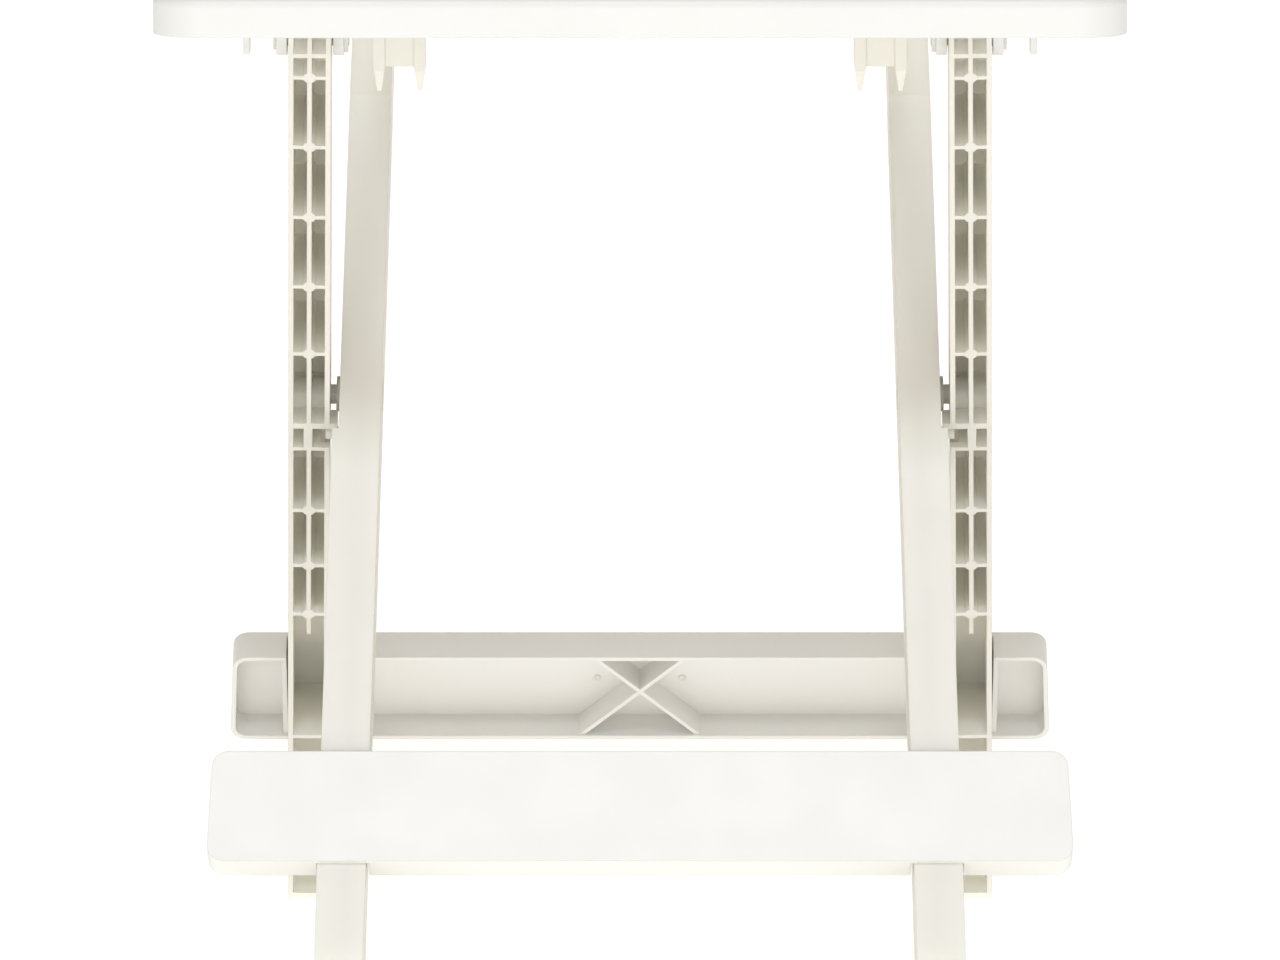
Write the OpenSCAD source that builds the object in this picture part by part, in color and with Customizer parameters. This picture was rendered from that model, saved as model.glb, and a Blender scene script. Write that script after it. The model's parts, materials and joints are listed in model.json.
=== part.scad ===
// Small folding table on two pairs of crossed legs.
// +X is the width, -Y the front and +Z up. The floor is z = 0.

/* [Overall] */
// Height of the tabletop above the floor
table_h = 500; // [480:5:540]
// Width of the tabletop, left to right
top_w = 450; // [430:5:520]
// Depth of the tabletop, front to back
top_d = 430; // [410:5:480]

/* [Tabletop] */
// Height of the turned-down skirt
skirt_h = 19; // [16:1:24]
// Thickness of the deck
deck_t = 3; // [2.5:0.5:4]
// Thickness of the skirt
skirt_t = 2.5; // [2:0.5:4]
// Corner radius seen from above
corner_r = 22; // [14:1:32]
// Rounding between the deck and the skirt
edge_r = 5; // [3:0.5:6]
// Width of each slot between two slats
slot_w = 8; // [5:1:12]
// Distance from one slat to the next
slat_pitch = 30; // [30:1:31]
// Length of the slots
slot_len = 350; // [250:10:370]

/* [Legs] */
// Lean of each leg from upright, in degrees
lean = 33.3; // [33:0.1:33.6]
// Outward splay of each leg, in degrees
splay = 1.19; // [0.8:0.05:1.4]
// Height of the scissor pivot
pivot_h = 281; // [278:1:284]
// Thickness of a leg, left to right
leg_t = 20; // [18:1:21]
// Width of a leg across its lean
leg_w = 40; // [36:1:42]
// Wall thickness of the legs and stretchers
wall = 2.5; // [2:0.25:3.5]
// Thickness of the smooth face of the legs and stretchers
face_t = 3; // [2.5:0.25:4]
// Distance from the middle to an outer leg at the pivot
outer_x = 159; // [158:0.5:160]
// Distance from the middle to an inner leg at the pivot
inner_x = 133.9; // [133:0.1:134.5]
// Extra thickness of the inner legs below the pivot
step_t = 3; // [2:0.5:3]
// Height of the tabletop hinge above the floor
hinge_h = 470; // [468:1:472]
// Length of the inner legs from the pivot to their catch pins
inner_reach = 202; // [198:1:202]

/* [Pins] */
// Radius of the pivot pins
pivot_r = 4.75; // [3.5:0.25:5]
// Radius of the hinge pins and the catch pins
pin_r = 4; // [3:0.25:4.5]
// Running clearance around a pin, in radius
run_fit = 0.05; // [0.02:0.01:0.1]

/* [Stretchers] */
// Length of the rear stretcher
rear_len = 406; // [396:2:416]
// Length of the front stretcher
front_len = 409; // [398:1:420]
// Width of a stretcher along the legs
rail_w = 56; // [50:1:60]
// Depth of a stretcher's channel
rail_d = 18; // [15:0.5:19]
// How much shorter a stretcher's upper edge is than its lower one, at each end
end_slant = 2.5; // [0:0.25:5]
// Distance from the pivot down to the rear stretcher
rear_q = 180; // [176:1:184]
// Distance from the pivot down to the front stretcher
front_q = 195.5; // [191:0.5:199]

/* [Hidden] */
$fn = 48;
far = 600;
deck_z = table_h - deck_t;
upper_q = (hinge_h - pivot_h) / cos(lean);
hinge_y = -upper_q * sin(lean);
catch_y = inner_reach * sin(lean);
catch_z = pivot_h + inner_reach * cos(lean);
half_w = leg_w / 2;
half_t = leg_t / 2;
splay_k = tan(splay);
// Distances up the leg from the pivot at which the cross ribs stand
outer_ribs = [218, 175, 131, 87, 44, -2, -17.5, -58, -94.5, -127];
inner_ribs = [150, 112, 74, 36, -36, -74, -112, -150, -260, -300];
// Where the middle rib of the outer legs ends and the open channel begins
outer_channel_q = -144;
// Where the open channel's one cross rib stands
brace_q = -210.1;
rib_t = 2.2;
pad_r = 3.1;
boss_r = 9;
tip_r = 12;
head_r = 8;
head_t = 2;
clip_t = 2;
sink = 2.5;
ear_r = 8.5;
ear_t = 5;
ear_gap = 0.8;
rib_depth = 8;
foot_wall = 4;
seat_gap = 0.3;
// The crossed ribs: their angle from upright and the height of their crossing
cross_angle = 44.6;
cross_rise = 3.6;
// The stop lug on the inner leg: its radius and its place across and up that leg
lug_r = 3;
lug_across = 2;
lug_up = -19.4;
lug_reach = 2.2;
lug_gap = 0.5;
// The stop flange's reach and the collar around the pivot, both between the legs
flange_reach = 3.8;
collar_r = 8.5;
collar_t = 2;
// The rear catches: their inner side, width, cheeks, and the bases of all the clips
catch_x = 98.5;
catch_w = 20;
cheek_t = 5;
base_t = 3;
// The fold clips: their inner side, width, place front to back, tips, seat and web
fold_x = 99;
fold_w = 24.4;
fold_y = -185;
fold_bottom = 453;
fold_seat = 464;
fold_web = 465;
finger_t = 5.5;
finger_tip = 2;

// The frame of a leg: z runs up the leg from the pivot, y across it, x outward.
module leg_frame(tilt) {
    translate([0, 0, pivot_h]) rotate([tilt, 0, 0]) children();
}

// The same frame turned to the leg's splay, with x = 0 in the leg's middle plane.
module splayed(x) {
    translate([x, 0, 0]) rotate([0, -splay, 0]) children();
}

// A round bar along x.
module bar(r, x0, x1) {
    translate([x0, 0, 0]) rotate([0, 90, 0]) cylinder(r = r, h = x1 - x0);
}

// A block given by its lowest and highest corners.
module block(a, b) {
    translate(a) cube(b - a);
}

// A flat slab with upright rounded corners, standing on z = 0.
module rounded_slab(w, d, h, r) {
    block([-w / 2 + r, -d / 2, 0], [w / 2 - r, d / 2, h]);
    block([-w / 2, -d / 2 + r, 0], [w / 2, d / 2 - r, h]);
    for (x = [-1, 1], y = [-1, 1])
        translate([x * (w / 2 - r), y * (d / 2 - r), 0]) cylinder(r = r, h = h);
}

// ---------------------------------------------------------------- tabletop

// Half of the deck's section: w across, skirt_h high, rounded at the upper outer edge.
module half_section(w) {
    square([w, skirt_h - edge_r]);
    square([w - edge_r, skirt_h]);
    translate([w - edge_r, skirt_h - edge_r]) circle(r = edge_r);
}

module full_section(w) {
    half_section(w / 2);
    mirror([1, 0]) half_section(w / 2);
}

module top_shell() {
    translate([0, 0, table_h - skirt_h]) {
        rotate([90, 0, 90]) linear_extrude(top_w - 2 * corner_r, center = true)
            full_section(top_d);
        rotate([90, 0, 0]) linear_extrude(top_d - 2 * corner_r, center = true)
            full_section(top_w);
        for (x = [-1, 1], y = [-1, 1])
            translate([x * (top_w / 2 - corner_r), y * (top_d / 2 - corner_r), 0])
                rotate_extrude() half_section(corner_r);
    }
}

module slots() {
    for (i = [-6:5]) {
        translate([(i + 0.5) * slat_pitch, 0, 0]) {
            block([-slot_w / 2, -slot_len / 2, deck_z - 1], [slot_w / 2, slot_len / 2, table_h + 1]);
            for (y = [-1, 1]) translate([0, y * slot_len / 2, deck_z - 1])
                cylinder(r = slot_w / 2, h = deck_t + 2);
        }
    }
}

module deck_ribs() {
    bottom = deck_z - rib_depth;
    reach = top_d / 2 - 1;
    for (i = [-6, -3, -2, -1, 0, 1, 2, 3, 6])
        block([i * slat_pitch - rib_t / 2, -reach, bottom],
              [i * slat_pitch + rib_t / 2, reach, deck_z + 1]);
    for (y = [-75, 0, 75])
        block([-3 * slat_pitch, y - rib_t / 2, bottom], [3 * slat_pitch, y + rib_t / 2, deck_z + 1]);
    for (y = [-168, 168])
        block([-top_w / 2 + 1, y - rib_t / 2, bottom], [top_w / 2 - 1, y + rib_t / 2, deck_z + 1]);
}

// Ears that carry the hinge pin on each side of an outer leg's top.
module hinge_ears() {
    leg_out = outer_x + half_t - upper_q * splay_k;
    for (x = [leg_out + ear_gap, leg_out - leg_t - ear_gap - ear_t])
        difference() {
            union() {
                translate([0, hinge_y, hinge_h]) bar(ear_r, x, x + ear_t);
                block([x, hinge_y - ear_r, hinge_h], [x + ear_t, hinge_y + ear_r, deck_z + 1]);
            }
            translate([0, hinge_y, hinge_h]) bar(pin_r, x - 1, x + ear_t + 1);
        }
}

// Small hook near the front corner.
module corner_lug() {
    lug_x = 180;
    lug_y = 9 - top_d / 2;
    lug_low = 472.5;
    block([lug_x, lug_y, lug_low], [lug_x + 3, lug_y + 16, deck_z + 1]);
}

module tabletop() {
    inner_w = top_w - 2 * skirt_t;
    inner_d = top_d - 2 * skirt_t;
    color("white") difference() {
        union() {
            difference() {
                top_shell();
                translate([0, 0, table_h - skirt_h - 1])
                    rounded_slab(inner_w, inner_d, skirt_h + 1 - deck_t, corner_r - skirt_t);
            }
            deck_ribs();
            for (s = [0, 1]) mirror([s, 0, 0]) {
                hinge_ears();
                corner_lug();
            }
        }
        slots();
    }
}

// -------------------------------------------------------------------- legs

// Cells between the cross ribs, two side by side. open is the side they open to.
module cells(ribs, open, from_x, to_x) {
    y0 = open < 0 ? -half_w - 1 : -half_w + face_t;
    y1 = open < 0 ? half_w - face_t : half_w + 1;
    for (i = [0:len(ribs) - 2]) {
        low = ribs[i + 1] + rib_t / 2;
        high = ribs[i] - rib_t / 2;
        block([from_x, y0, low], [-rib_t / 2, y1, high]);
        block([rib_t / 2, y0, low], [to_x, y1, high]);
    }
}

// Shallow cells in front of the hinge, on both sides of the middle rib.
module head_cells() {
    depth = 11;
    pitch = 13;
    for (low = [outer_ribs[0], outer_ribs[0] + pitch])
        for (x0 = [wall - half_t, rib_t / 2])
            block([x0, -half_w - 1, low + rib_t / 2],
                  [x0 + half_t - wall - rib_t / 2, -half_w + depth, low + pitch - rib_t / 2]);
}

// Thick rib and flange above the stop notch, and the wide middle rib beside it.
module stop_ribs() {
    flange_low = outer_ribs[5] - rib_t / 2 - 1.3;
    flange_high = outer_ribs[5] + rib_t / 2;
    block([-half_t - flange_reach, -half_w, flange_low], [half_t - 1, -half_w + 10, flange_high]);
    block([-1.7, -half_w, outer_ribs[6]], [2.5, half_w - 1, outer_ribs[5]]);
}

// The round slot in an outer leg's inner wall, along which the stop lug travels.
module lug_slot() {
    lug_far = norm([lug_across, lug_up]);
    start = atan2(lug_up, lug_across) - 2 * lean;
    end_gap = asin((lug_r + lug_gap) / lug_far);
    angles = [start - end_gap, start + 30, start + 60 + end_gap];
    intersection() {
        difference() {
            bar(lug_far + lug_r + lug_gap, -half_t - 1, wall - half_t + 1.5);
            bar(lug_far - lug_r - lug_gap, -half_t - 2, wall - half_t + 2);
        }
        translate([-half_t - 3, 0, 0]) rotate([90, 0, 90]) linear_extrude(leg_t)
            polygon([[0, 0], for (a = angles) 60 * [cos(a), sin(a)]]);
    }
}

// Round pads where the cross ribs meet the middle rib.
module rib_pads(ribs, open) {
    depth = leg_w - face_t;
    for (q = ribs)
        translate([0, open < 0 ? half_w - 1 : -half_w + 1, q]) rotate([open < 0 ? 90 : -90, 0, 0])
            cylinder(r = pad_r, h = depth + 2);
}

// Everything under the floor, to cut the feet flat.
module under_floor(rise) {
    block([-far, -far, -far], [far, far, rise]);
}

module outer_leg() {
    foot_q = -pivot_h / cos(lean);
    difference() {
        leg_frame(lean) {
            difference() {
                splayed(outer_x) {
                    difference() {
                        union() {
                            block([-half_t, -half_w, foot_q - 60], [half_t, half_w, upper_q]);
                            translate([0, 0, upper_q]) bar(half_w, -half_t, half_t);
                        }
                        difference() {
                            cells(outer_ribs, -1, wall - half_t, half_t - wall);
                            bar(boss_r, -half_t, half_t);
                        }
                        // One open channel below the ribs, crossed once
                        for (span = [[outer_ribs[9] - rib_t / 2, brace_q + rib_t / 2],
                                     [brace_q - rib_t / 2, foot_q - 60]])
                            intersection() {
                                block([wall - half_t, -half_w - 1, span[1]],
                                      [half_t - wall, half_w - face_t, span[0]]);
                                translate([-outer_x, 0, 0]) rotate([-lean, 0, 0])
                                    translate([0, 0, foot_wall - pivot_h])
                                        block([-far, -far, 0], [far, far, far]);
                            }
                        // Stop notch through the inner wall
                        block([-half_t - 1, -half_w - 1, outer_ribs[6] + rib_t / 2],
                              [wall - half_t + 1, -half_w + 9, outer_ribs[5] - rib_t / 2]);
                        head_cells();
                        lug_slot();
                    }
                    rib_pads([for (i = [0:9]) if (i != 5 && i != 6) outer_ribs[i]], -1);
                    stop_ribs();
                    // End of the middle rib, at the top of the open channel
                    block([-rib_t / 2, -half_w + 4, outer_channel_q],
                          [rib_t / 2, half_w - 1, outer_ribs[9]]);
                }
                // Pivot bore with a sink for the pin's head, and the hinge bore
                bar(pivot_r, 0, far);
                bar(head_r + 0.4, outer_x + half_t - sink, far);
                translate([0, 0, upper_q]) bar(pin_r + run_fit, 0, far);
            }
        }
        under_floor(0);
    }
}

// Side outline of an inner leg, narrowed to a round tip at the catch pin.
module inner_outline(x0, x1, q0, q1) {
    block([x0, -half_w, q0], [x1, half_w, q1]);
}

module inner_tip() {
    shoulder = 150;
    run = inner_reach - shoulder;
    slope = asin((half_w - tip_r) / run);
    bar_y = tip_r * cos(slope);
    bar_z = inner_reach + tip_r * sin(slope);
    translate([0, 0, inner_reach]) bar(tip_r, -half_t, half_t);
    translate([-half_t, 0, 0]) rotate([90, 0, 90]) linear_extrude(leg_t)
        polygon([[-half_w, shoulder - 1], [half_w, shoulder - 1], [half_w, shoulder],
                 [bar_y, bar_z], [-bar_y, bar_z], [-half_w, shoulder]]);
}

module inner_leg() {
    foot_q = -pivot_h / cos(lean);
    step_q = -27;
    difference() {
        leg_frame(-lean) {
            translate([0, lug_across, lug_up])
                bar(lug_r, inner_x + half_t - 1, outer_x - half_t + lug_reach);
            difference() {
                splayed(inner_x) {
                    difference() {
                        union() {
                            inner_outline(-half_t, half_t, foot_q - 60, 150);
                            inner_outline(half_t - 1, half_t + step_t, foot_q - 60, step_q);
                            inner_tip();
                            bar(collar_r, half_t - 1, half_t + collar_t);
                        }
                        difference() {
                            cells(inner_ribs, 1, wall - half_t, half_t - wall);
                            bar(boss_r + 2, -half_t, half_t);
                        }
                    }
                    rib_pads(inner_ribs, 1);
                }
                bar(pivot_r + run_fit, 0, far);
                bar(boss_r, 0, inner_x - half_t + sink);
                translate([0, 0, inner_reach]) bar(pin_r, 0, far);
            }
        }
        under_floor(0);
    }
}

module outer_leg_right() color("white") outer_leg();
module outer_leg_left() color("white") mirror([1, 0, 0]) outer_leg();
module inner_leg_right() color("white") inner_leg();
module inner_leg_left() color("white") mirror([1, 0, 0]) inner_leg();

// -------------------------------------------------------------- stretchers

// A slab with rounded corners and slanted ends, w long at its lower edge.
module tapered_slab(w, d, h, r, slant) {
    tilt = atan(slant / d);
    side = r * [cos(tilt), sin(tilt)];
    rise = d / 2 - r;
    high = [w / 2 - slant * (d - r) / d - r / cos(tilt), rise];
    low = [w / 2 - slant * r / d - r / cos(tilt), -rise];
    right = [low + [0, -r], low + side, high + side, high + [0, r]];
    left = [for (i = [3:-1:0]) [-right[i][0], right[i][1]]];
    linear_extrude(h) polygon(concat(right, left));
    for (s = [-1, 1], c = [high, low])
        translate([s * c[0], c[1], 0]) cylinder(r = r, h = h);
}

// A channel lying along x. Its smooth face is at y = 0 and it opens towards +y.
module rail(len, x_in, x_out) {
    corner = 8;
    depth = rail_d + face_t;
    inner_d = rail_w - 2 * wall;
    difference() {
        rotate([90, 0, 0]) mirror([0, 0, 1])
            tapered_slab(len, rail_w, rail_d, corner, end_slant);
        translate([0, face_t, 0]) rotate([90, 0, 0]) mirror([0, 0, 1])
            tapered_slab(len - 2 * wall, inner_d, rail_d, corner - wall, end_slant * inner_d / rail_w);
        // Room for the two legs
        for (s = [0, 1]) mirror([s, 0, 0])
            block([x_in, face_t, -rail_w], [x_out, depth, rail_w]);
    }
    // Walls beside each leg
    for (s = [0, 1]) mirror([s, 0, 0])
        for (x = [x_in - wall, x_out])
            block([x, 0, -rail_w / 2 + 1], [x + wall, rail_d - 2, rail_w / 2 - 1]);
}

// Two crossed ribs in the middle of a channel.
module crossed_ribs() {
    reach = rail_w / 2 - wall + 0.5;
    for (a = [-cross_angle, cross_angle])
        intersection() {
            translate([0, 0, cross_rise]) rotate([0, a, 0])
                block([-rib_t / 2, face_t - 1, -far / 6], [rib_t / 2, rail_d - 1, far / 6]);
            block([-far, 0, -reach], [far, rail_d, reach]);
        }
}

module rear_stretcher() {
    mid_q = rear_q + rail_w / 2;
    x_in = outer_x - half_t + rear_q * splay_k - seat_gap;
    x_out = outer_x + half_t + (rear_q + rail_w) * splay_k + seat_gap;
    color("white") leg_frame(lean)
        translate([0, half_w + face_t, -mid_q]) mirror([0, 1, 0]) {
            rail(rear_len, x_in, x_out);
            crossed_ribs();
        }
}

module front_stretcher() {
    mid_q = front_q + rail_w / 2;
    x_in = inner_x - half_t + front_q * splay_k - seat_gap;
    x_out = inner_x + half_t + step_t + (front_q + rail_w) * splay_k + seat_gap;
    color("white") leg_frame(-lean)
        translate([0, -half_w - face_t, -mid_q]) {
            rail(front_len, x_in, x_out);
            crossed_ribs();
        }
}

// -------------------------------------------------------------------- pins

module pivot_pin() {
    translate([0, 0, pivot_h]) {
        bar(pivot_r, inner_x - half_t + 0.3, outer_x + half_t - sink);
        bar(head_r, outer_x + half_t - sink, outer_x + half_t - sink + head_t);
    }
}

module pivot_clip() {
    x = inner_x - half_t + 0.2;
    translate([0, 0, pivot_h]) difference() {
        bar(head_r, x, x + clip_t);
        bar(pivot_r, x - 1, x + clip_t + 1);
    }
}

module hinge_pin() {
    leg_out = outer_x + half_t - upper_q * splay_k;
    x_end = leg_out + ear_gap + ear_t;
    translate([0, hinge_y, hinge_h]) {
        bar(pin_r, leg_out - leg_t - ear_gap - ear_t - clip_t - 0.5, x_end);
        bar(pin_r + 2, x_end, x_end + 1.5);
    }
}

module hinge_clip() {
    x = outer_x - half_t - upper_q * splay_k - ear_gap - ear_t - clip_t;
    translate([0, hinge_y, hinge_h]) difference() {
        bar(pin_r + 3, x, x + clip_t);
        bar(pin_r, x - 1, x + clip_t + 1);
    }
}

module catch_pin() {
    leg_in = inner_x - half_t - inner_reach * splay_k;
    translate([0, catch_y, catch_z]) bar(pin_r, leg_in - 23, leg_in + leg_t - 1);
}

module pivot_pin_right() color("whitesmoke") pivot_pin();
module pivot_pin_left() color("whitesmoke") mirror([1, 0, 0]) pivot_pin();
module pivot_clip_right() color("whitesmoke") pivot_clip();
module pivot_clip_left() color("whitesmoke") mirror([1, 0, 0]) pivot_clip();
module hinge_pin_right() color("whitesmoke") hinge_pin();
module hinge_pin_left() color("whitesmoke") mirror([1, 0, 0]) hinge_pin();
module hinge_clip_right() color("whitesmoke") hinge_clip();
module hinge_clip_left() color("whitesmoke") mirror([1, 0, 0]) hinge_clip();
module catch_pin_right() color("whitesmoke") catch_pin();
module catch_pin_left() color("whitesmoke") mirror([1, 0, 0]) catch_pin();

// ------------------------------------------------------- catches and clips

// Side outline of a catch cheek around the catch pin, open to the front and below.
module catch_cheek(x, t) {
    gap = pin_r + seat_gap;
    up = deck_z - catch_z;
    front = -14;
    ramp = (gap - front * sin(lean)) / cos(lean);
    corner = (gap - gap * sin(lean)) / cos(lean);
    back = 22;
    low = -9;
    translate([x, catch_y, catch_z]) rotate([90, 0, 90]) linear_extrude(t)
        polygon([[front, up], [front, ramp], [gap, corner], [gap, low],
                 [13, low], [back, 10], [back, up]]);
}

module rear_catch() {
    catch_cheek(catch_x, cheek_t);
    catch_cheek(catch_x + catch_w - cheek_t, cheek_t);
    // The web behind and the base plate under the deck
    block([catch_x + 1, catch_y + 17, catch_z + 6], [catch_x + catch_w - 1, catch_y + 20, deck_z]);
    block([catch_x + 1, catch_y - 12, deck_z - base_t],
          [catch_x + catch_w - 1, catch_y + 18, deck_z]);
}

// One finger of a fold clip: a tapered hook that opens to the rear.
module fold_finger(x) {
    up = deck_z - fold_bottom;
    root = fold_web - fold_bottom;
    half_d = 9;
    side = (finger_t - finger_tip) / 2;
    seat_y = fold_y + 6;
    mouth = pin_r - 0.5;
    difference() {
        intersection() {
            translate([x, fold_y, fold_bottom]) rotate([90, 0, 90]) linear_extrude(finger_t)
                polygon([[-half_d, up], [-half_d, 10], [-3, 0], [5, 0], [half_d, 7], [half_d, up]]);
            translate([x, fold_y + half_d, fold_bottom]) rotate([90, 0, 0])
                linear_extrude(2 * half_d)
                    polygon([[0, up], [0, root], [side, 0], [side + finger_tip, 0],
                             [finger_t, root], [finger_t, up]]);
        }
        translate([0, seat_y, fold_seat]) bar(pin_r + seat_gap, x - 1, x + finger_t + 1);
        block([x - 1, seat_y, fold_seat - mouth],
              [x + finger_t + 1, fold_y + half_d + 1, fold_seat + mouth]);
    }
}

module fold_clip() {
    fold_finger(fold_x);
    fold_finger(fold_x + fold_w - finger_t);
    // The web in front and the base plate under the deck
    block([fold_x + 1, fold_y - 8, fold_web], [fold_x + fold_w - 1, fold_y - 5, deck_z]);
    block([fold_x + 1, fold_y - 8, deck_z - base_t], [fold_x + fold_w - 1, fold_y + 8, deck_z]);
}

module rear_catch_right() color("gainsboro") rear_catch();
module rear_catch_left() color("gainsboro") mirror([1, 0, 0]) rear_catch();
module fold_clip_right() color("gainsboro") fold_clip();
module fold_clip_left() color("gainsboro") mirror([1, 0, 0]) fold_clip();

tabletop();
outer_leg_left();
outer_leg_right();
inner_leg_left();
inner_leg_right();
rear_stretcher();
front_stretcher();
pivot_pin_left();
pivot_pin_right();
pivot_clip_left();
pivot_clip_right();
hinge_pin_left();
hinge_pin_right();
hinge_clip_left();
hinge_clip_right();
catch_pin_left();
catch_pin_right();
rear_catch_left();
rear_catch_right();
fold_clip_left();
fold_clip_right();
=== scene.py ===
"""Folding side table: finishes, two moulded marks, studio and camera around the CAD frame."""
import json
import logging
import math
from dataclasses import dataclass, field
from enum import Enum

import bmesh
import bpy
from mathutils import Matrix, Vector


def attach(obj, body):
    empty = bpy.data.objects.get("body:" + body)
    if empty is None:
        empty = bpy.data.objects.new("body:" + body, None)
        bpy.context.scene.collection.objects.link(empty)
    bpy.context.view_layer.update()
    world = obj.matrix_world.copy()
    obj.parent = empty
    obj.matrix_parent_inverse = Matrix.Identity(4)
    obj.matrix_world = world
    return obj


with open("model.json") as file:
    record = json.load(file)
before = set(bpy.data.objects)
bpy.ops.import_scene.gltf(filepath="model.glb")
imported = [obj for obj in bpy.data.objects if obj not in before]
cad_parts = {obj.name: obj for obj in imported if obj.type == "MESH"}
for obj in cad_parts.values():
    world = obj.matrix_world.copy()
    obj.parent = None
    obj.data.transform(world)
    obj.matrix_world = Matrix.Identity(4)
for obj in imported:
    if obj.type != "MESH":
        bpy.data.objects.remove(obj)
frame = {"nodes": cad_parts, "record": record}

log = logging.getLogger("folding_table")
MM = 0.001
# How nearly a face's normal has to agree with the wanted direction
SAME_WAY = 0.9
# Corners sharper than this angle stay sharp when a piece is shaded smooth
SMOOTH_ANGLE = math.radians(35)
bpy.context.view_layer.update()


class Lean(Enum):
    """Which way a pair of legs leans: the outer pair's tops are at the front."""

    OUTER = 1
    INNER = -1


class Side(Enum):
    """Left or right half of the table."""

    LEFT = -1
    RIGHT = 1


@dataclass(frozen=True)
class LegFrame:
    """Turns places along and across a leg into places in the table's frame.

    Attributes:
        pivot: Where the two pairs of legs cross, in metres.
        lean: Angle of the legs from upright, in radians.
    """

    pivot: Vector
    lean: float

    def matrix(self, pair: Lean, x: float, across: float, along: float) -> Matrix:
        """Place of a point on a pair of legs, with z along the leg.

        Args:
            pair: The pair of legs.
            x: Distance from the middle of the table.
            across: Distance across the leg, to the rear.
            along: Distance up the leg from the pivot.

        Returns:
            The matrix that carries a mesh from its own origin to that place.
        """
        turn = Matrix.Rotation(pair.value * self.lean, 4, "X")
        return Matrix.Translation(self.pivot) @ turn @ Matrix.Translation((x, across, along))


def leg_frame() -> LegFrame:
    """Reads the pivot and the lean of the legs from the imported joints.

    Returns:
        The frame of the crossed legs.
    """
    joints = {joint["name"]: joint for joint in frame["record"]["behaviour"]["joints"]}
    pivot = Vector(joints["leg_scissor"]["pos_m"])
    hinge = Vector(joints["top_hinge"]["pos_m"])
    rise = hinge - pivot
    return LegFrame(pivot, math.atan2(-rise.y, rise.z))


# ---------------------------------------------------------------- modelling


class Bench:
    """Small set of modelling moves, each done with Blender's own operators."""

    @staticmethod
    def clear() -> None:
        """Leaves edit mode and deselects everything."""
        if bpy.context.object and bpy.context.object.mode != "OBJECT":
            bpy.ops.object.mode_set(mode="OBJECT")
        bpy.ops.object.select_all(action="DESELECT")

    @staticmethod
    def select_faces(piece: bpy.types.Object, normal: Vector) -> None:
        """Enters edit mode with only the faces that point one way selected.

        Args:
            piece: The mesh object.
            normal: Direction of the wanted faces.
        """
        bpy.ops.object.mode_set(mode="EDIT")
        bpy.ops.mesh.select_mode(type="FACE")
        bpy.ops.mesh.select_all(action="DESELECT")
        mesh = bmesh.from_edit_mesh(piece.data)
        for face in mesh.faces:
            face.select_set(face.normal.dot(normal) > SAME_WAY)
        bmesh.update_edit_mesh(piece.data)

    @staticmethod
    def finish(piece: bpy.types.Object, place: Matrix, edge: float) -> bpy.types.Object:
        """Rounds the edges, puts the piece in its place and leaves its object at the origin.

        Args:
            piece: The mesh object, modelled about its own origin.
            place: Where it goes.
            edge: Radius of the rounded edges.

        Returns:
            The same object.
        """
        Bench.clear()
        piece.select_set(True)
        bpy.context.view_layer.objects.active = piece
        bevel = piece.modifiers.new("edges", "BEVEL")
        bevel.width = edge
        bevel.segments = 2
        bevel.limit_method = "ANGLE"
        bpy.ops.object.modifier_apply(modifier=bevel.name)
        piece.matrix_world = place
        bpy.ops.object.transform_apply(location=True, rotation=True, scale=True)
        bpy.ops.object.shade_smooth_by_angle(angle=SMOOTH_ANGLE)
        Bench.clear()
        return piece

    @staticmethod
    def disc(name: str, radius: float, height: float) -> bpy.types.Object:
        """A low round mark, centred on the origin, with a sunk middle on its -y side.

        Args:
            name: The piece's name.
            radius: Outer radius.
            height: Its height along y.

        Returns:
            The new object.
        """
        sides = 28
        rim = radius * 0.22
        slope = radius * 0.1
        sink = height * 0.6
        Bench.clear()
        bpy.ops.mesh.primitive_cylinder_add(
            vertices=sides, radius=radius, depth=height, rotation=(math.pi / 2, 0, 0))
        piece = bpy.context.object
        piece.name = name
        bpy.ops.object.transform_apply(location=True, rotation=True, scale=True)
        Bench.select_faces(piece, Vector((0, -1, 0)))
        bpy.ops.mesh.inset(thickness=rim, depth=0)
        bpy.ops.mesh.inset(thickness=slope, depth=-sink)
        bpy.ops.object.mode_set(mode="OBJECT")
        return piece


# ----------------------------------------------------------------- finishes

# Rays that soften an edge, the strength of the bump, and the usual spread of a noise texture
BEVEL_SAMPLES = 4
BUMP_STRENGTH = 0.58
NOISE_SPAN = (0.3, 0.7)


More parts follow.
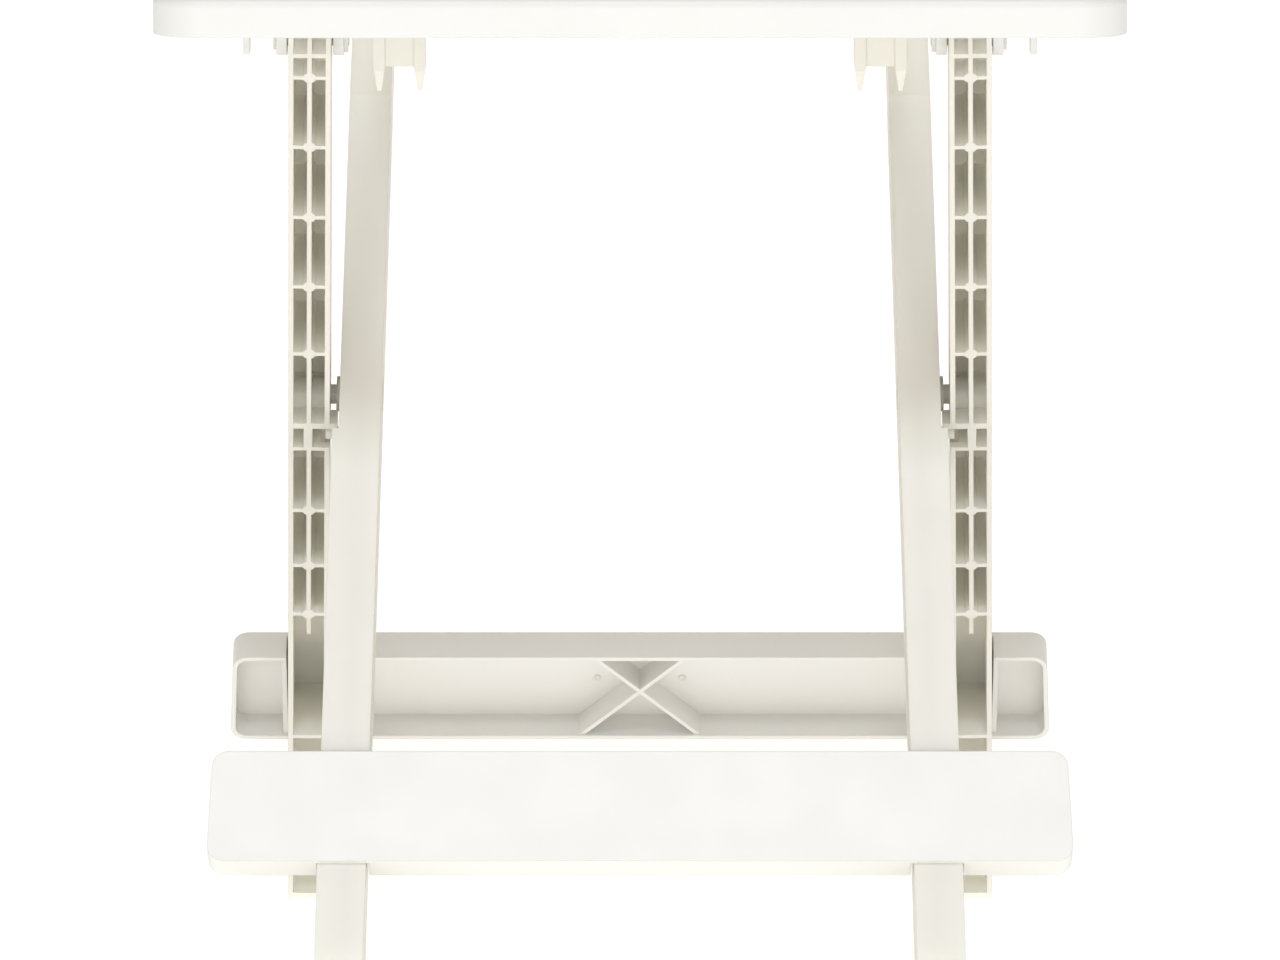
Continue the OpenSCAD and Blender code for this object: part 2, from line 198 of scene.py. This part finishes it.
class Sockets:
    """Short ways to add and join shader nodes."""

    @staticmethod
    def group(name: str, inputs: dict, outputs: dict) -> tuple:
        """An empty shader node group with named sockets.

        Args:
            name: The group's name.
            inputs: Socket type and default for each input's name.
            outputs: Socket type for each output's name.

        Returns:
            The tree, its input node and its output node.
        """
        tree = bpy.data.node_groups.new(name, "ShaderNodeTree")
        for label, (kind, value) in inputs.items():
            socket = tree.interface.new_socket(label, in_out="INPUT", socket_type=kind)
            if value is not None:
                socket.default_value = value
        for label, kind in outputs.items():
            tree.interface.new_socket(label, in_out="OUTPUT", socket_type=kind)
        return tree, tree.nodes.new("NodeGroupInput"), tree.nodes.new("NodeGroupOutput")

    @staticmethod
    def noise(tree: bpy.types.NodeTree, vector: bpy.types.NodeSocket, scale: float, detail: float,
              rough: float = 0.5) -> bpy.types.Node:
        """A noise texture on the given coordinates.

        Args:
            tree: The node tree.
            vector: Coordinates to read.
            scale: Scale of the noise.
            detail: Levels of detail.
            rough: Roughness of the detail.

        Returns:
            The noise node.
        """
        node = tree.nodes.new("ShaderNodeTexNoise")
        node.inputs["Scale"].default_value = scale
        node.inputs["Detail"].default_value = detail
        node.inputs["Roughness"].default_value = rough
        tree.links.new(vector, node.inputs["Vector"])
        return node

    @staticmethod
    def span(tree: bpy.types.NodeTree, value: bpy.types.NodeSocket, source: tuple,
             target: tuple) -> bpy.types.NodeSocket:
        """Maps one range of values onto another, clamped.

        Args:
            tree: The node tree.
            value: Value to map.
            source: Lowest and highest value read.
            target: The values they become.

        Returns:
            The mapped value's socket.
        """
        node = tree.nodes.new("ShaderNodeMapRange")
        for label, number in zip(("From Min", "From Max", "To Min", "To Max"), source + target):
            node.inputs[label].default_value = number
        tree.links.new(value, node.inputs["Value"])
        return node.outputs["Result"]

    @staticmethod
    def math(tree: bpy.types.NodeTree, operation: str, first: object,
             second: object) -> bpy.types.NodeSocket:
        """One sum on two values, each a socket or a number.

        Args:
            tree: The node tree.
            operation: Blender's name of the sum.
            first: First value.
            second: Second value.

        Returns:
            The result's socket.
        """
        node = tree.nodes.new("ShaderNodeMath")
        node.operation = operation
        for index, value in enumerate((first, second)):
            if isinstance(value, bpy.types.NodeSocket):
                tree.links.new(value, node.inputs[index])
            else:
                node.inputs[index].default_value = value
        return node.outputs[0]

    @staticmethod
    def blend(tree: bpy.types.NodeTree, factor: bpy.types.NodeSocket, first: object,
              second: object) -> bpy.types.NodeSocket:
        """Mixes two colours by a factor.

        Args:
            tree: The node tree.
            factor: How much of the second colour shows.
            first: A colour or its socket.
            second: A colour or its socket.

        Returns:
            The mixed colour's socket.
        """
        node = tree.nodes.new("ShaderNodeMix")
        node.data_type = "RGBA"
        tree.links.new(factor, node.inputs["Factor"])
        for label, value in (("A", first), ("B", second)):
            socket = [s for s in node.inputs if s.name == label and s.type == "RGBA"][0]
            if isinstance(value, bpy.types.NodeSocket):
                tree.links.new(value, socket)
            else:
                socket.default_value = value
        return [s for s in node.outputs if s.type == "RGBA"][0]


def grain_group() -> bpy.types.NodeTree:
    """The fine texture of a moulded surface, with its edges softened.

    Returns:
        A group that gives a normal and a roughness offset.
    """
    tree, given, result = Sockets.group(
        "moulded_grain",
        {"Vector": ("NodeSocketVector", None), "Scale": ("NodeSocketFloat", 1.0),
         "Depth": ("NodeSocketFloat", 0.00002), "Edge": ("NodeSocketFloat", 0.0006)},
        {"Normal": "NodeSocketVector", "Roughness": "NodeSocketFloat"})
    fine_scale, wavy_scale = 1500.0, 38.0
    fine_share, wavy_share = 0.5, 4.0
    sized = tree.nodes.new("ShaderNodeVectorMath")
    sized.operation = "SCALE"
    tree.links.new(given.outputs["Vector"], sized.inputs[0])
    tree.links.new(given.outputs["Scale"], sized.inputs["Scale"])
    fine = Sockets.noise(tree, sized.outputs[0], fine_scale, 3.0)
    wavy = Sockets.noise(tree, sized.outputs[0], wavy_scale, 2.0)
    height = Sockets.math(
        tree, "ADD", Sockets.math(tree, "MULTIPLY", fine.outputs["Fac"], fine_share),
        Sockets.math(tree, "MULTIPLY", wavy.outputs["Fac"], wavy_share))
    soft = tree.nodes.new("ShaderNodeBevel")
    soft.samples = BEVEL_SAMPLES
    tree.links.new(given.outputs["Edge"], soft.inputs["Radius"])
    bump = tree.nodes.new("ShaderNodeBump")
    bump.inputs["Strength"].default_value = BUMP_STRENGTH
    tree.links.new(given.outputs["Depth"], bump.inputs["Distance"])
    tree.links.new(height, bump.inputs["Height"])
    tree.links.new(soft.outputs["Normal"], bump.inputs["Normal"])
    tree.links.new(bump.outputs["Normal"], result.inputs["Normal"])
    tree.links.new(Sockets.span(tree, wavy.outputs["Fac"], NOISE_SPAN, (-0.05, 0.05)),
                   result.inputs["Roughness"])
    return tree


def wear_group() -> bpy.types.NodeTree:
    """Where handling has polished or greyed the edges.

    Returns:
        A group that gives a mask, 1 on worn edges.
    """
    tree, given, result = Sockets.group(
        "edge_wear",
        {"Vector": ("NodeSocketVector", None), "Width": ("NodeSocketFloat", 0.0012),
         "Amount": ("NodeSocketFloat", 0.5)},
        {"Mask": "NodeSocketFloat"})
    patch_scale = 55.0
    soft = tree.nodes.new("ShaderNodeBevel")
    soft.samples = BEVEL_SAMPLES
    tree.links.new(given.outputs["Width"], soft.inputs["Radius"])
    shape = tree.nodes.new("ShaderNodeNewGeometry")
    facing = tree.nodes.new("ShaderNodeVectorMath")
    facing.operation = "DOT_PRODUCT"
    tree.links.new(soft.outputs["Normal"], facing.inputs[0])
    tree.links.new(shape.outputs["True Normal"], facing.inputs[1])
    edge = Sockets.span(tree, facing.outputs["Value"], (0.8, 0.995), (1.0, 0.0))
    patchy = Sockets.noise(tree, given.outputs["Vector"], patch_scale, 4.0, 0.65)
    broken = Sockets.math(tree, "MULTIPLY", edge,
                          Sockets.span(tree, patchy.outputs["Fac"], (0.38, 0.62), (0.0, 1.0)))
    tree.links.new(Sockets.math(tree, "MULTIPLY", broken, given.outputs["Amount"]),
                   result.inputs["Mask"])
    return tree


def tone_group() -> bpy.types.NodeTree:
    """Slow clouding, flow streaks and dust specks in moulded plastic.

    Returns:
        A group that gives a cloud mask, a streak mask and a speck mask.
    """
    tree, given, result = Sockets.group(
        "moulded_tone",
        {"Vector": ("NodeSocketVector", None)},
        {"Cloud": "NodeSocketFloat", "Streak": "NodeSocketFloat", "Speck": "NodeSocketFloat"})
    cloud_scale, streak_scale, dust_scale = 7.0, 26.0, 420.0
    cloud = Sockets.noise(tree, given.outputs["Vector"], cloud_scale, 3.0)
    stretch = tree.nodes.new("ShaderNodeMapping")
    stretch.inputs["Scale"].default_value = (0.35, 1.0, 1.0)
    tree.links.new(given.outputs["Vector"], stretch.inputs["Vector"])
    streak = Sockets.noise(tree, stretch.outputs["Vector"], streak_scale, 5.0, 0.6)
    dust = Sockets.noise(tree, given.outputs["Vector"], dust_scale, 2.0)
    tree.links.new(Sockets.span(tree, cloud.outputs["Fac"], NOISE_SPAN, (0.0, 1.0)),
                   result.inputs["Cloud"])
    tree.links.new(Sockets.span(tree, streak.outputs["Fac"], (0.5, 0.8), (0.0, 1.0)),
                   result.inputs["Streak"])
    tree.links.new(Sockets.span(tree, dust.outputs["Fac"], (0.7, 0.78), (0.0, 1.0)),
                   result.inputs["Speck"])
    return tree


@dataclass(frozen=True)
class MouldedPlastic:
    """White moulded polypropylene.

    Attributes:
        name: The material's name.
        base: Colour of a clean surface.
        aged: Slightly yellower colour of clouded places.
        worn: Colour of rubbed edges.
        roughness: Mean roughness.
        grain: Size of the surface texture, 1 is the usual grain.
        depth: Height of the surface texture in metres.
        edge: Softening of the edges in metres.
        wear: How much the edges are rubbed.
        thin: Share of the light that passes through the walls.
        through: Colour of the light that passes through the walls.
        cloud_share: How strongly the clouding shows.
        streak_share: How strongly the flow streaks show.
        speck_share: How strongly the dust specks show.
        rubbed: Change of roughness on a rubbed edge.
        ior: Index of refraction.
    """

    name: str
    base: tuple = (0.935, 0.922, 0.873, 1.0)
    aged: tuple = (0.92, 0.9, 0.835, 1.0)
    worn: tuple = (0.84, 0.815, 0.74, 1.0)
    roughness: float = 0.42
    grain: float = 1.0
    depth: float = 0.00003
    edge: float = 0.0006
    wear: float = 0.35
    thin: float = 0.3
    through: tuple = (0.98, 0.97, 0.9, 1.0)
    cloud_share: float = 0.5
    streak_share: float = 0.25
    speck_share: float = 0.35
    rubbed: float = -0.12
    ior: float = 1.49

    def build(self, groups: dict) -> bpy.types.Material:
        """Makes the material.

        Args:
            groups: The shared node groups, by name.

        Returns:
            The new material.
        """
        material = bpy.data.materials.new(self.name)
        material.use_nodes = True
        tree = material.node_tree
        shader = tree.nodes["Principled BSDF"]
        place = tree.nodes.new("ShaderNodeTexCoord").outputs["Object"]
        placed = {}
        for label, group in groups.items():
            node = tree.nodes.new("ShaderNodeGroup")
            node.node_tree = group
            tree.links.new(place, node.inputs["Vector"])
            placed[label] = node
        placed["grain"].inputs["Scale"].default_value = self.grain
        placed["grain"].inputs["Depth"].default_value = self.depth
        placed["grain"].inputs["Edge"].default_value = self.edge
        placed["wear"].inputs["Amount"].default_value = self.wear
        tone = placed["tone"]
        colour: object = self.base
        for label, share, tint in (("Cloud", self.cloud_share, self.aged),
                                   ("Streak", self.streak_share, self.aged),
                                   ("Speck", self.speck_share, self.worn)):
            amount = Sockets.math(tree, "MULTIPLY", tone.outputs[label], share)
            colour = Sockets.blend(tree, amount, colour, tint)
        colour = Sockets.blend(tree, placed["wear"].outputs["Mask"], colour, self.worn)
        tree.links.new(colour, shader.inputs["Base Color"])
        rough = Sockets.math(tree, "ADD", placed["grain"].outputs["Roughness"], self.roughness)
        polish = Sockets.math(tree, "MULTIPLY", placed["wear"].outputs["Mask"], self.rubbed)
        tree.links.new(Sockets.math(tree, "ADD", rough, polish), shader.inputs["Roughness"])
        tree.links.new(placed["grain"].outputs["Normal"], shader.inputs["Normal"])
        shader.inputs["IOR"].default_value = self.ior
        through = tree.nodes.new("ShaderNodeBsdfTranslucent")
        through.inputs["Color"].default_value = self.through
        mixed = tree.nodes.new("ShaderNodeMixShader")
        mixed.inputs[0].default_value = self.thin
        tree.links.new(shader.outputs["BSDF"], mixed.inputs[1])
        tree.links.new(through.outputs["BSDF"], mixed.inputs[2])
        tree.links.new(mixed.outputs["Shader"], tree.nodes["Material Output"].inputs["Surface"])
        return material


class Finish(Enum):
    """The finishes on the table. The deck and the stretchers are the same white plastic as the
    legs, given darker base colours as painted shade that tones down their brightly lit faces.
    """

    # Deck: the legs' white plastic with darker base and clouding colours, painted shade that
    # tones down its brightly lit skirt and top
    DECK = MouldedPlastic("deck_plastic_shaded_copy", base=(0.83, 0.826, 0.81, 1.0),
                          aged=(0.82, 0.812, 0.785, 1.0), roughness=0.4, grain=0.8,
                          depth=0.00004, wear=0.4, thin=0.08)
    LEGS = MouldedPlastic("leg_plastic", roughness=0.44)
    # Stretchers: the legs' white plastic with somewhat darker base and clouding colours, painted
    # shade that tones down their lit faces
    STRETCHERS = MouldedPlastic("stretcher_plastic_shaded_copy", base=(0.89, 0.882, 0.855, 1.0),
                                aged=(0.875, 0.866, 0.835, 1.0), roughness=0.43,
                                edge=0.0008, thin=0.08)
    CLIPS = MouldedPlastic("clip_plastic", base=(0.91, 0.895, 0.84, 1.0), roughness=0.38,
                           grain=1.4)
    FITTINGS = MouldedPlastic("pin_plastic", base=(0.93, 0.92, 0.87, 1.0), roughness=0.25,
                              grain=1.6, depth=0.000012, wear=0.6)


class Paint:
    """Keeps one material for each finish and dresses pieces with them."""

    def __init__(self) -> None:
        """Builds the shared groups and all the materials."""
        groups = {"grain": grain_group(), "wear": wear_group(), "tone": tone_group()}
        self.materials = {finish: finish.value.build(groups) for finish in Finish}

    def dress(self, piece: bpy.types.Object, finish: Finish) -> None:
        """Gives a piece one finish all over.

        Args:
            piece: The object to dress.
            finish: Its finish.
        """
        piece.data.materials.clear()
        piece.data.materials.append(self.materials[finish])


# ------------------------------------------------------------- the assembly


@dataclass
class CadPieces:
    """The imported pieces, which keep their own shape and get a finish.

    Attributes:
        paint: The materials.
        finishes: Finish for each word that a piece's name starts with.
    """

    paint: Paint
    finishes: dict = field(default_factory=lambda: {
        "tabletop": Finish.DECK, "outer_leg": Finish.LEGS, "inner_leg": Finish.LEGS,
        "rear_stretcher": Finish.STRETCHERS, "front_stretcher": Finish.STRETCHERS,
        "rear_catch": Finish.CLIPS, "fold_clip": Finish.CLIPS,
        "pivot": Finish.FITTINGS, "hinge": Finish.FITTINGS, "catch_pin": Finish.FITTINGS})

    def build(self) -> None:
        """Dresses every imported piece."""
        for name, piece in frame["nodes"].items():
            finish = next(value for word, value in self.finishes.items() if name.startswith(word))
            material = self.paint.materials[finish]
            for slot in piece.material_slots:
                slot.material = material
            if not piece.material_slots:
                piece.data.materials.append(material)
            log.info("dressed %s with %s", name, finish.value.name)


@dataclass
class StretcherMarks:
    """Round ejector marks inside the rear stretcher.

    Attributes:
        legs: Frame of the crossed legs.
        paint: The materials.
        radius: Radius of an ejector mark.
        height: How far a mark stands out.
        spread: Distance of the ejector marks from the middle.
        sunk: How deep a mark is set into the wall.
        edge: Radius of a mark's rounded edges.
        wall_across: Place of the wall that carries the marks, across the outer legs.
        wall_along: Place of the wall's middle, along the outer legs from the pivot.
    """

    legs: LegFrame
    paint: Paint
    radius: float = 2.0 * MM
    height: float = 0.5 * MM
    spread: float = 21.0 * MM
    sunk: float = 0.05 * MM
    edge: float = 0.12 * MM
    wall_across: float = 20.0 * MM
    wall_along: float = -208.0 * MM

    def build(self) -> None:
        """Makes the two marks inside the rear stretcher."""
        for side in Side:
            mark = Bench.disc(f"rear_ejector_mark_{side.name.lower()}", self.radius, self.height)
            place = self.legs.matrix(
                Lean.OUTER, side.value * self.spread,
                self.wall_across - self.height / 2 + self.sunk, self.wall_along)
            Bench.finish(mark, place, self.edge)
            self.paint.dress(mark, Finish.STRETCHERS)
            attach(mark, "outer_frame")
            log.info("modelled %s", mark.name)


# ------------------------------------------------------------------- studio


@dataclass
class Studio:
    """Pale floor, soft light and the camera.

    Attributes:
        floor_size: Side of the square floor.
        camera_y: Camera's distance in front of the middle of the table.
        camera_z: Camera's height.
        camera_pitch: Angle of the view below the horizon, in degrees.
        focal: Focal length in millimetres on a 36 mm sensor.
        key_elevation: Height of the key light above the horizon, in degrees.
        key_strength: Strength of the key light.
        key_angle: Apparent size of the key light, in degrees.
        key_colour: Colour of the key light.
        fill_size: Width and height of the low fill light.
        fill_power: Power of the low fill light, in watts.
        glow_colour: Colour of the light that the floor gives off.
        glow: Strength of the light that the floor gives off.
        surround_colour: Colour of the surround.
        surround_strength: Strength of the surround.
    """

    floor_size: float = 40.0
    camera_y: float = 5.471
    camera_z: float = 1.151
    camera_pitch: float = 9.4635
    focal: float = 323.6
    key_elevation: float = 49.0
    key_strength: float = 0.83
    key_angle: float = 9.0
    key_colour: tuple = (0.78, 0.87, 1.0)
    fill_size: tuple = (3.0, 0.4)
    fill_power: float = 19.0
    glow_colour: tuple = (1.0, 0.985, 0.93, 1.0)
    glow: float = 0.48
    surround_colour: tuple = (1.0, 0.945, 0.87, 1.0)
    surround_strength: float = 0.58

    def build(self) -> None:
        """Makes the floor, the lights and the camera."""
        self.floor()
        self.lights()
        self.camera()

    def floor(self) -> None:
        """A plain pale floor under the table."""
        Bench.clear()
        bpy.ops.mesh.primitive_plane_add(size=self.floor_size)
        floor = bpy.context.object
        floor.name = "studio_floor"
        material = bpy.data.materials.new("studio_white")
        material.use_nodes = True
        shader = material.node_tree.nodes["Principled BSDF"]
        shader.inputs["Base Color"].default_value = (0.96, 0.96, 0.96, 1.0)
        shader.inputs["Roughness"].default_value = 0.9
        shader.inputs["Emission Color"].default_value = self.glow_colour
        shader.inputs["Emission Strength"].default_value = self.glow
        floor.data.materials.append(material)
        log.info("laid the floor")

    def lights(self) -> None:
        """A soft high light, a low fill light in front, and an even pale surround."""
        Bench.clear()
        tilt = math.radians(90.0 - self.key_elevation)
        bpy.ops.object.light_add(type="SUN", location=(0, -3, 3.5), rotation=(tilt, 0, 0))
        key = bpy.context.object
        key.name = "key_light"
        key.data.energy = self.key_strength
        key.data.angle = math.radians(self.key_angle)
        key.data.color = self.key_colour
        bpy.ops.object.light_add(
            type="AREA", location=(0, -3.2, 0.25), rotation=(math.radians(92), 0, 0))
        fill = bpy.context.object
        fill.name = "low_front_fill"
        fill.data.shape = "RECTANGLE"
        fill.data.size, fill.data.size_y = self.fill_size
        fill.data.energy = self.fill_power
        world = bpy.data.worlds.new("white_surround")
        world.use_nodes = True
        surround = world.node_tree.nodes["Background"]
        surround.inputs["Color"].default_value = self.surround_colour
        surround.inputs["Strength"].default_value = self.surround_strength
        bpy.context.scene.world = world
        bpy.context.scene.view_settings.view_transform = "Standard"
        log.info("set the lights")

    def camera(self) -> None:
        """The camera, straight in front of the table and a little above it."""
        Bench.clear()
        pitch = math.radians(90.0 - self.camera_pitch)
        bpy.ops.object.camera_add(
            location=(0, -self.camera_y, self.camera_z), rotation=(pitch, 0, 0))
        camera = bpy.context.object
        camera.name = "front_camera"
        camera.data.sensor_width = 36.0
        camera.data.lens = self.focal
        camera.data.clip_end = 60.0
        bpy.context.scene.camera = camera
        log.info("placed the camera")


def main() -> None:
    """Builds the pieces, the studio and the camera."""
    logging.basicConfig(level=logging.INFO, format="%(name)s: %(message)s")
    paint = Paint()
    legs = leg_frame()
    CadPieces(paint).build()
    StretcherMarks(legs, paint).build()
    Studio().build()


if __name__ == "__main__":
    main()
